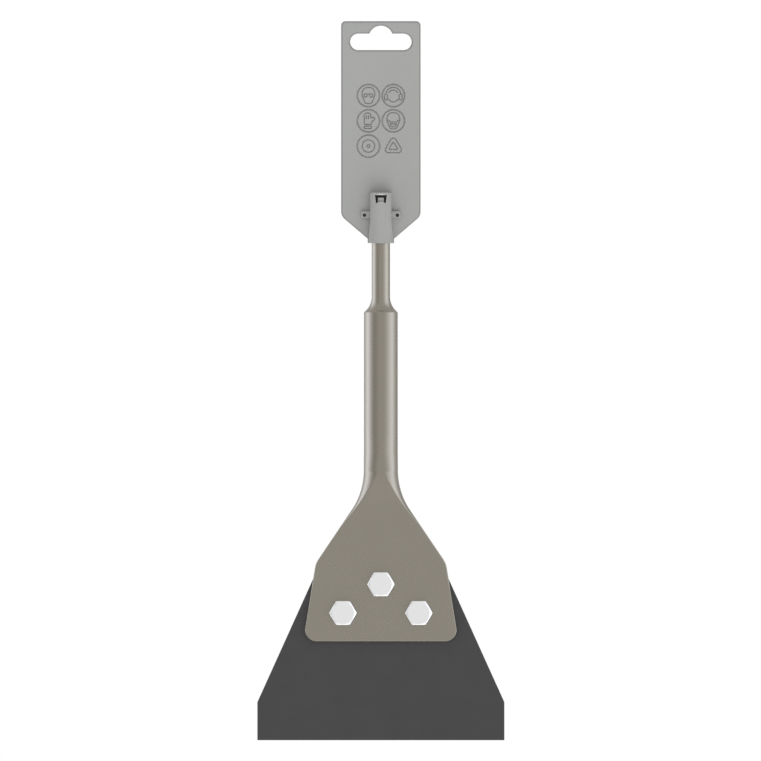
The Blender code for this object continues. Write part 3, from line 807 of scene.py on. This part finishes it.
def hex_face(outline, face, inward):
    """Rings from a hex's round flat out over its chamfer to its sides; inward is +1 or -1."""
    slope = tan(radians(HEX_CHAMFER_ANGLE))
    flat = [point.normalized() * (HEX_CHAMFER_RADIUS - HEX_EDGE) for point in outline]
    rings = [at_depth(flat, face)]
    start = HEX_CHAMFER_RADIUS + HEX_EDGE
    for limit, shorter, drop in ((start, 0, 0), (math.inf, HEX_EDGE, 0), (math.inf, 0, HEX_EDGE)):
        ring = []
        for point in outline:
            reach = min(point.length - shorter, limit)
            height = max(reach - HEX_CHAMFER_RADIUS, 0.0) * slope + drop
            spot = point.normalized() * reach
            ring.append((spot.x, face + inward * height, spot.y))
        rings.append(ring)
    return rings


def thread_radius(depth, turn):
    """Radius of the M8 thread at a depth and at a turn about +Y, in turns."""
    phase = (depth / THREAD_PITCH - turn) % 1.0
    if phase < THREAD_FLAT:
        share = 1.0
    elif phase < THREAD_FLAT + THREAD_FLANK:
        share = 1.0 - (phase - THREAD_FLAT) / THREAD_FLANK
    else:
        share = max((phase - 1.0 + THREAD_FLANK) / THREAD_FLANK, 0.0)
    return THREAD_CREST - THREAD_DEPTH * (1 - share)


def turn_of(point):
    """A front-view point's turn about +Y from +Z, in turns."""
    return math.atan2(point.x, point.y) / (2 * pi) % 1.0


def at_turn(turn, depth, radius):
    angle = 2 * pi * turn
    return radius * sin(angle), depth, radius * cos(angle)


def ring_at(turns, depth, radius_at):
    return [at_turn(turn, depth, radius_at(depth, turn)) for turn in turns]


def helix_rings(turns, start, end, radius_at):
    """Rings that follow the thread's crests and roots between two depths, one column per turn value.

    The last column repeats the first one a pitch later, and merging closes the seam."""
    phases = (0.0, THREAD_FLAT, THREAD_FLAT + THREAD_FLANK, 1.0 - THREAD_FLANK)
    first = math.floor(start / THREAD_PITCH) - 2
    last = math.ceil(end / THREAD_PITCH) + 1
    rings = []
    for pitch in range(first, last + 1):
        for phase in phases:
            ring = []
            for turn in turns:
                depth = min(max((pitch + phase + turn) * THREAD_PITCH, start), end)
                ring.append(at_turn(turn, depth, radius_at(depth, turn)))
            rings.append(ring)
    return rings


def opened_hexagon():
    """The hexagon's points by their turns, the first one repeated, and those turns."""
    points = sorted(hexagon(), key=turn_of)
    turns = [turn_of(point) for point in points]
    return [*points, points[0]], [*turns, turns[0] + 1.0]


def bolt_radius(depth, turn):
    """The bolt's thread, fading out at its start and chamfered at its tip."""
    core = THREAD_CREST - THREAD_DEPTH
    tip = core - BOLT_TIP_STEP + (BOLT_TIP - depth)
    plain = THREAD_CREST - max(depth - THREAD_START, 0.0) * THREAD_RUNOUT
    return min(max(thread_radius(depth, turn), plain), tip)


def nut_radius(depth, turn):
    """The nut's thread, countersunk at both ends."""
    deep = min(depth - NUT_FRONT, NUT_BACK - depth)
    return max(thread_radius(depth, turn) + THREAD_GAP, NUT_SINK_RADIUS - deep)


def make_bolt():
    """A hex bolt on the origin's depth axis, head in front."""
    outline, turns = opened_hexagon()
    face = hex_face(outline, HEAD_FRONT, 1)
    under = [
        at_depth(outline, HEAD_BACK - HEAD_SEAT),
        at_depth([point * (1 - HEAD_SEAT / HEX_HALF_FLATS) for point in outline], HEAD_BACK),
        ring_at(turns, HEAD_BACK, bolt_radius),
    ]
    shank = helix_rings(turns, THREAD_START, BOLT_TIP, bolt_radius)

    def build(bm):
        rows = add_grid(bm, face + under + [ring_at(turns, THREAD_START, bolt_radius)], closed=False)
        tip = add_grid(bm, shank, closed=False)[-1]
        bm.faces.new(rows[0][:-1])
        bm.faces.new(tip[:-1])

    return mesh_from("bolt", build)


def make_nut():
    """A threaded hex nut on the origin's depth axis."""
    outline, turns = opened_hexagon()
    outside = hex_face(outline, NUT_FRONT, 1) + hex_face(outline, NUT_BACK, -1)[::-1]
    first, last = (ring_at(turns, depth, nut_radius) for depth in (NUT_FRONT, NUT_BACK))

    def build(bm):
        add_grid(bm, [first, *outside, last], closed=False)
        add_grid(bm, helix_rings(turns, NUT_FRONT, NUT_BACK, nut_radius), closed=False)

    return mesh_from("nut", build)


def washer_profile(inner, outer, front, back, edge):
    """Points round a washer's section (radius, depth)."""
    corners = [(inner, front, edge), (outer, front, edge), (outer, back, edge), (inner, back, edge)]
    return rounded(corners, EDGE_STEPS)


def make_flat_washer():
    back = WASHER_FRONT + WASHER_THICKNESS
    profile = washer_profile(WASHER_BORE, WASHER_RADIUS, WASHER_FRONT, back, WASHER_EDGE)
    return tube("washer", [[(p.x * at.x, p.y, p.x * at.y) for p in profile] for at in circle(1.0)])


def make_spring_washer():
    """A split ring whose ends stand a little apart along its axis, cut on the slant."""
    front, back, lead = SPRING_FRONT, SPRING_BACK, SPRING_LEAD
    profile = washer_profile(SPRING_BORE, SPRING_RADIUS, front, back, SPRING_EDGE)
    thinner = 1 - 2 * lead / (back - front)
    profile = [Vector((p.x, front + lead + (p.y - front) * thinner)) for p in profile]
    middle = (front + back) / 2
    rings = []
    for share in spaced(-1, 1, ROUND_STEPS):
        ring = []
        for p in profile:
            half_gap = asin(SPRING_GAP / 2 / p.x)
            slant = SPRING_SLANT * (p.y - middle) / p.x * abs(share) ** 8
            turn = -pi / 2 + share * (pi - half_gap) + slant
            ring.append((p.x * cos(turn), p.y + lead * share, -p.x * sin(turn)))
        rings.append(ring)
    return loft("spring_washer", rings)


def make_fasteners(zinc):
    """One bolt, flat washer, spring washer and nut at each place."""
    for place, (across, height) in BOLT_PLACES.items():
        to_place = TO_TOOL @ Matrix.Translation((across, 0, height))
        makers = (
            ("hex_bolt", make_bolt, "chisel", SMOOTH_ANGLE),
            ("flat_washer", make_flat_washer, f"washers_{place}", WASHER_ANGLE),
            ("spring_washer", make_spring_washer, f"washers_{place}", WASHER_ANGLE),
            ("hex_nut", make_nut, f"nut_{place}", SMOOTH_ANGLE),
        )
        for kind, make, body, angle in makers:
            made = make()
            made.name = made.data.name = f"{kind}_{place}"
            made.data.transform(to_place)
            piece(made, body, [zinc], [f"{kind}_{place}"], angle)


# -------------------- hang tag


def hanging_slot():
    """The slot's outline: a bar with round ends and an arch in the middle of its upper side."""
    bar_top = SLOT_MIDDLE + SLOT_HALF_HEIGHT
    end = SLOT_HALF_WIDTH - SLOT_HALF_HEIGHT
    start = math.degrees(asin((bar_top + SLOT_ARCH_RADIUS) / SLOT_ARCH_RADIUS))
    right = arc((end, SLOT_MIDDLE), SLOT_HALF_HEIGHT, -90, 90, 2 * ARC_STEPS)
    right += arc((0, -SLOT_ARCH_RADIUS), SLOT_ARCH_RADIUS, start, 90, 2 * ARC_STEPS)[:-1]
    return [*right, Vector((0, 0)), *mirrored(right)[len(right):]]


def groove(path, closed, width, depth):
    """The cutter of an engraved line with steep sides, along a path on the card's front."""
    count = len(path)
    half, floor, side = width / 2, 0.12 * width, 0.95 * depth
    section = [Vector(point) for point in (
        (half, 0), (floor, -side), (0, -depth), (-floor, -side), (-half, 0), (-half, depth),
        (half, depth),
    )]
    rings = []
    for index, here in enumerate(path):
        before = path[index - 1] if closed or index else here
        after = path[(index + 1) % count] if closed or index < count - 1 else here
        along = (after - before).normalized()
        across = Vector((along.y, -along.x))
        rings.append([
            (here.x + across.x * x, -CARD_HALF_DEPTH - y, here.y + across.y * x) for x, y in section
        ])
    return tube("groove", rings) if closed else loft("groove", rings)


def mm_path(corners):
    return rounded([(x * MM, y * MM, r * MM) for x, y, r in corners], MARK_STEPS)


def mm_arc(x, y, radius, start, end, steps=20):
    return arc((x * MM, y * MM), radius * MM, start, end, steps)


def egg():
    """A plain egg-shaped head."""
    left = [(-2.6, 4.4, 2.4), (-3.7, 0.6, 2.5), (-1.7, -4.4, 1.5)]
    return mm_path(left[1:] + flipped(left) + left[:1])


def both_sides(corners):
    """An outline and its mirror image."""
    return [mm_path(corners), mm_path(flipped(corners))]


def goggles_mark():
    """A head with goggles; as from each mark, the closed paths and the open ones."""
    bridge = mm_path([(-0.6, 0.7, 0), (0, 0.9, 1), (0.6, 0.7, 0)])
    lens = [(0.8, -0.8, 0.6), (2.3, -0.8, 0.7), (2.5, 0.9, 0.6), (0.7, 0.9, 0.5)]
    return [egg(), *both_sides(lens)], [bridge]


def muffs_mark():
    """A headband over two ear cups, on a head."""
    cup = [(3.2, -2.4, 0.7), (4.8, -2.4, 0.7), (4.8, 0.8, 0.7), (3.2, 0.8, 0.7)]
    band, jaw = mm_arc(0, 0.3, 4.2, 10, 170), mm_arc(0, -0.6, 2.9, 205, 335)
    return both_sides(cup), [band, jaw, mm_arc(0, 0.3, 2.7, 25, 155)]


def glove_mark():
    """A mitten with a cuff."""
    mitten = [
        (-2.2, -2.0, 0.4), (1.5, -2.0, 0.4), (1.9, -0.6, 0.8), (3.7, 1.1, 0.6), (2.7, 2.2, 0.6),
        (1.3, 1.2, 0.4), (1.2, 4.3, 1.3), (-2.4, 4.3, 1.5),
    ]
    cuff = [(-2.4, -4.2, 0.4), (1.7, -4.2, 0.4), (1.7, -2.9, 0.4), (-2.4, -2.9, 0.4)]
    return [mm_path(mitten), mm_path(cuff)], [mm_path([(x, 1.0, 0), (x, 3.0, 0)]) for x in (-1.1, 0.1)]


def mask_mark():
    """A head with a pleated dust mask."""
    shell = [(-1.2, -3.2, 0.9), (1.2, -3.2, 0.9), (1.9, -0.6, 0.6), (-1.9, -0.6, 0.6)]
    pleat = mm_path([(-1.1, -1.8, 0), (0, -1.6, 4), (1.1, -1.8, 0)])
    straps = [mm_path([(side * 2.0, -0.4, 0), (side * 2.9, 0.5, 0)]) for side in (-1, 1)]
    return [egg(), mm_path(shell)], [pleat, *straps]


def roundel_mark():
    """A smaller ring round a dot."""
    return [circle(3.4 * MM, 48), circle(0.8 * MM, 16)], []


def triangle_mark():
    """A rounded triangle inside another."""
    paths = []
    for reach, radius in ((6.4, 1.6), (3.0, 0.6)):
        corners = [(reach * sin(turn), reach * cos(turn) - 0.4, radius)
                   for turn in (0, -2 * pi / 3, 2 * pi / 3)]
        paths.append(mm_path(corners))
    return paths, []


def engrave_marks(card):
    """Six marks in two columns on the card's front, all but the last in a ring."""
    makers = (goggles_mark, muffs_mark, glove_mark, mask_mark, roundel_mark, triangle_mark)
    for index, make in enumerate(makers):
        column = MARK_COLUMN * (-1 if index % 2 == 0 else 1)
        middle = Vector((column, MARK_ROWS[index // 2]))
        if make is not triangle_mark:
            combine(card, groove(circle(MARK_RADIUS, middle=middle), True, *MARK_RING))
        for paths, closed in zip(make(), (True, False)):
            for path in paths:
                combine(card, groove([middle + point for point in path], closed, *MARK_LINE))


def make_card(plastic, rim_painted_shade):
    right = [
        (CARD_TAB_HALF_WIDTH, TAG_BOTTOM, 0.4 * MM),
        (CARD_TAB_HALF_WIDTH, CARD_TAB_TOP, 0),
        (CARD_HALF_WIDTH, CARD_SHOULDER, CARD_SHOULDER_RADIUS),
        (CARD_HALF_WIDTH, CARD_TOP, CARD_CORNER_RADIUS),
    ]
    faces = (-CARD_HALF_DEPTH, CARD_HALF_DEPTH)
    rim = bevel_profile(CARD_BEVEL, CARD_BEVEL_DEPTH)
    card = slab("hang_card", rounded(right + flipped(right)), *faces, CARD_EDGE, rim)
    combine(card, plug(hanging_slot(), *faces, CARD_EDGE, rim))
    engrave_marks(card)
    piece(card, "tag", [plastic, rim_painted_shade], ["hang_card"])
    # Faces that lean away from the front, outside the marks, get the darker copy of the plastic: painted
    # shade along the card's outline and slot.
    for face in card.data.polygons:
        marked = abs(face.center.x) < MARKS_REACH and MARKS_BOTTOM < face.center.z < MARKS_TOP
        if abs(face.normal.y) < SHADED_RIM_NORMAL and not marked:
            face.material_index = 1


def saddle(radius, height, back):
    """A section round the shank: half a circle in front and straight legs back towards the card."""
    ring = [(-radius * cos(turn), TOOL_Y - radius * sin(turn), height)
            for turn in spaced(0, pi, SLEEVE_STEPS)]
    return [(-radius, back, height), *ring, (radius, back, height)]


def make_sleeve(plastic, painted_highlight):
    back = SLEEVE_BACK
    rings = [
        saddle(SLEEVE_MOUTH_RADIUS - SLEEVE_FOOT, TAG_BOTTOM, back),
        saddle(SLEEVE_MOUTH_RADIUS - 0.01 * MM, TAG_BOTTOM + SLEEVE_FOOT, back),
        saddle(SLEEVE_RADIUS, SLEEVE_FLARE_TOP, back),
    ]
    rings += [
        saddle(SLEEVE_RADIUS - step, SLEEVE_TOP - depth, back)
        for depth, step in reversed(edge_profile(SLEEVE_EDGE))
    ]
    sleeve = loft("shank_sleeve", rings)
    near, far, radius = 0.9 * SLEEVE_RADIUS, EAR_REACH, EAR_CORNER_RADIUS
    low, high = EAR_MIDDLE - EAR_HALF_HEIGHT, EAR_MIDDLE + EAR_HALF_HEIGHT
    corners = [(near, low, 0), (far, low, radius), (far, high, radius), (near, high, 0)]
    for side, outline in ((-1, flipped(corners)), (1, corners)):
        ear = slab("ear", rounded(outline), EAR_FRONT, back + EAR_EDGE, EAR_EDGE)
        combine(sleeve, ear, "UNION")
        hole = circle(PIN_HOLE_RADIUS, PIN_STEPS, (side * PIN_PLACE[0], PIN_PLACE[1]))
        combine(sleeve, plug(hole, EAR_FRONT, back, PIN_HOLE_EDGE))
    bore = [saddle(BORE_RADIUS, height, back + SPARE) for height in (TAG_BOTTOM - SPARE, WINDOW_TOP)]
    combine(sleeve, loft("bore", bore))
    right = [
        Vector((WINDOW_LOW_HALF, TONGUE_ROOT)),
        Vector((WINDOW_LOW_HALF, WINDOW_BOTTOM)),
        Vector((WINDOW_HALF_WIDTH, WINDOW_TOP)),
    ]
    ends = TOOL_Y - 2 * SLEEVE_RADIUS, TOOL_Y - SHANK_RADIUS / 2
    combine(sleeve, loft("window", [at_depth(mirrored(right), depth) for depth in ends]))
    front = TOOL_Y - SLEEVE_RADIUS
    chamfer = [
        (front - SPARE, WINDOW_TOP + WINDOW_CHAMFER + SPARE), (front - SPARE, WINDOW_TOP - WINDOW_LIP),
        (front + 2 * WINDOW_CHAMFER, WINDOW_TOP - WINDOW_LIP), (front + WINDOW_CHAMFER, WINDOW_TOP),
        (front, WINDOW_TOP + WINDOW_CHAMFER),
    ]
    combine(sleeve, bar("chamfer", chamfer, WINDOW_HALF_WIDTH))
    piece(sleeve, "tag", [plastic, painted_highlight], ["shank_sleeve"])
    # The window's top chamfer gets the lighter copy of the plastic: a painted highlight.
    lip = Vector((0, -1, -1)).normalized()
    for face in sleeve.data.polygons:
        if face.normal.dot(lip) > 0.99 and face.center.z > WINDOW_TOP:
            face.material_index = 1


def make_pins(steel):
    """Round-headed pins sunk in the ears."""
    across, height = PIN_PLACE
    for side, name in ((-1, "left"), (1, "right")):
        outline = circle(PIN_RADIUS, PIN_STEPS, (side * across, height))
        front, back = EAR_FRONT + PIN_RECESS, -CARD_HALF_DEPTH
        pin = slab(f"sleeve_pin_{name}", outline, front, back, PIN_EDGE)
        piece(pin, "tag", [steel], [f"sleeve_pin_{name}"])


def tongue_section(half, height, lean=0.0):
    """A curved section of the tongue with broken outer corners; lean lifts its inner face."""
    edge = min(TONGUE_EDGE, 0.4 * half)
    across = spaced(-half, half, TONGUE_STEPS)

    def front(x, radius=SLEEVE_RADIUS):
        return TOOL_Y - sqrt(radius**2 - x * x)

    corner, side = (half - edge, front(half - edge)), (half, front(half) + edge)
    outer = [(-side[0], side[1]), (-corner[0], corner[1])]
    outer += [(x, front(x)) for x in across[1:-1]] + [corner, side]
    inner = [(x, front(x, BORE_RADIUS), height + lean) for x in reversed(across)]
    return [(x, y, height) for x, y in outer] + inner


def make_latch_tongue(plastic):
    """A strip of the sleeve's front wall with an arched free end and a nose in the front drive slot."""
    half = WINDOW_LOW_HALF - TONGUE_GAP
    rise = TONGUE_TIP - TONGUE_SHOULDER
    radius = (half * half + rise * rise) / (2 * rise)
    spread = asin(half / radius)
    rings = [
        tongue_section(half, TONGUE_ROOT + TONGUE_ROOT_GAP, TONGUE_LEAN),
        tongue_section(half, TONGUE_ROOT + TONGUE_ROOT_HEIGHT),
    ]
    for turn in spaced(spread, 0, ARC_STEPS):
        width = max(radius * sin(turn), 0.01 * MM)
        rings.append(tongue_section(width, TONGUE_TIP - radius * (1 - cos(turn))))
    tongue = loft("latch_tongue", rings)
    front = TOOL_Y - SLEEVE_RADIUS
    tip = TOOL_Y - DRIVE_SLOT_FLOOR - NOSE_GAP
    outline = rectangle(NOSE_HALF_WIDTH, NOSE_BOTTOM, NOSE_TOP, NOSE_CORNER_RADIUS)
    combine(tongue, slab("nose", outline, front + NOSE_SETBACK, tip, NOSE_EDGE), "UNION")
    outline = rectangle(NOSE_HALF_WIDTH, NOSE_BOTTOM, TONGUE_TIP - NOSE_ROOT_INSET, 0)
    combine(tongue, slab("nose_root", outline, front + NOSE_ROOT_INSET, tip, NOSE_ROOT_EDGE), "UNION")
    piece(tongue, "latch", [plastic], ["latch_tongue"])


# -------------------- studio


def ray_share(tree, ray, first, second):
    """The first background, and the second one for one kind of ray."""
    mix = add_node(tree, "MixShader", Fac=add_node(tree, "LightPath").outputs[ray])
    tree.links.new(first, mix.inputs[1])
    tree.links.new(second, mix.inputs[2])
    return mix.outputs["Shader"]


def softbox_ramp(tree, front, right, brightest):
    """Softboxes and flags round the object, the bright ones a little cooler."""
    turn = number(tree, "ARCTAN2", right, front)
    ramp = add_node(tree, "ValToRGB", Fac=map_range(tree, turn, (-pi, pi)))
    stops = ramp.color_ramp.elements
    while len(stops) > 1:
        stops.remove(stops[-1])
    stops[0].position = 0.0
    for index, (degrees, level) in enumerate(SOFTBOX_LEVELS):
        stop = stops.new((degrees + 180) / 360) if index else stops[0]
        cool = min(max((level - COOL_LEVELS[0]) / (COOL_LEVELS[1] - COOL_LEVELS[0]), 0), 1)
        tint = Vector([1 + (channel - 1) * cool for channel in COOL_TINT])
        stop.color = (*(tint * (level / brightest)), 1.0)
    return ramp.outputs["Color"]


def background(tree, colour, strength):
    return add_node(tree, "Background", Color=colour, Strength=strength).outputs["Background"]


def make_world():
    """A white studio: steel reflects softboxes, the rest gets an even light, the camera sees white."""
    world = bpy.data.worlds.new("studio")
    scene.world = world
    world.use_nodes = True
    tree = world.node_tree
    tree.nodes.remove(tree.nodes["Background"])
    parts = add_node(tree, "SeparateXYZ", Vector=add_node(tree, "TexCoord").outputs["Generated"])
    right, back, up = (parts.outputs[axis] for axis in "XYZ")
    brightest = COOL_TINT[2] * max(level for _, level in SOFTBOX_LEVELS)
    ramp = softbox_ramp(tree, number(tree, "MULTIPLY", back, -1.0), right, brightest)
    even = map_range(tree, number(tree, "ABSOLUTE", up), EVEN_RISE)
    colour = blend(tree, even, ramp, shaded(WHITE, EVEN_LEVEL / brightest))
    strength = map_range(tree, up, BELOW_RISE, (brightest, BELOW_GAIN * brightest))
    level = map_range(tree, number(tree, "ABSOLUTE", back), (0.0, 1.0), AMBIENT_LEVELS)
    softboxes, ambient = background(tree, colour, strength), background(tree, WHITE, level)
    lit = ray_share(tree, "Is Glossy Ray", ambient, softboxes)
    seen = ray_share(tree, "Is Camera Ray", lit, background(tree, WHITE, 1.0))
    tree.links.new(seen, tree.nodes["World Output"].inputs["Surface"])


def make_floor():
    """A pale floor under the hanging tool, out of the reflections."""
    material, _, shader = new_material("floor")
    shader.inputs["Base Color"].default_value = shaded(WHITE, 0.95)
    shader.inputs["Roughness"].default_value = 0.9
    reach, level = FLOOR_HALF_WIDTH, EDGE_Z - FLOOR_DROP

    def build(bm):
        corners = [(-reach, -reach), (reach, -reach), (reach, reach), (-reach, reach)]
        bm.faces.new([bm.verts.new((x, y, level)) for x, y in corners])

    floor = mesh_from("floor", build)
    floor.data.materials.append(material)
    floor.visible_glossy = False
    floor.visible_shadow = False


def make_sun(name, azimuth, elevation, strength, spread):
    """Soft light from a direction in degrees: azimuth 0 is the front, elevation is up from level."""
    light = bpy.data.lights.new(name, "SUN")
    light.energy = strength
    light.angle = radians(spread)
    holder = bpy.data.objects.new(name, light)
    turn, rise = radians(azimuth), radians(elevation)
    source = Vector((sin(turn) * cos(rise), -cos(turn) * cos(rise), sin(rise)))
    holder.rotation_mode = "QUATERNION"
    holder.rotation_quaternion = source.to_track_quat("Z", "Y")
    holder.visible_glossy = False
    scene.collection.objects.link(holder)


def make_camera():
    """A straight front view without perspective, as in the photograph."""
    data = bpy.data.cameras.new("camera")
    data.type = "ORTHO"
    data.ortho_scale = VIEW_WIDTH
    data.clip_start, data.clip_end = 0.01, 10
    camera = bpy.data.objects.new("camera", data)
    across, up = CAMERA_SHIFT
    camera.location = (across, -CAMERA_DISTANCE, (cad_low.z + cad_high.z) / 2 + up)
    camera.rotation_euler = (pi / 2, 0, 0)
    scene.collection.objects.link(camera)
    scene.camera = camera


steel = forged_steel()
zinc = zinc_plate()
plastic = tag_plastic()
make_chisel_body(steel)
make_blade(blade_steel(), ground_steel())
make_fasteners(zinc)
# a darker copy of the plastic: painted shade round the card's rim
make_card(plastic, tag_plastic("rim_painted_shade", 0.72))
# a lighter copy of the plastic: a painted highlight on the window's chamfer
make_sleeve(plastic, tag_plastic("painted_highlight_plastic", 1.75))
make_pins(pin_steel())
make_latch_tongue(plastic)
make_world()
make_floor()
make_sun("key", 18, -32, 0.85, 60)
make_sun("fill", 180, 60, 1.3, 40)
make_camera()
scene.view_settings.view_transform = "Standard"
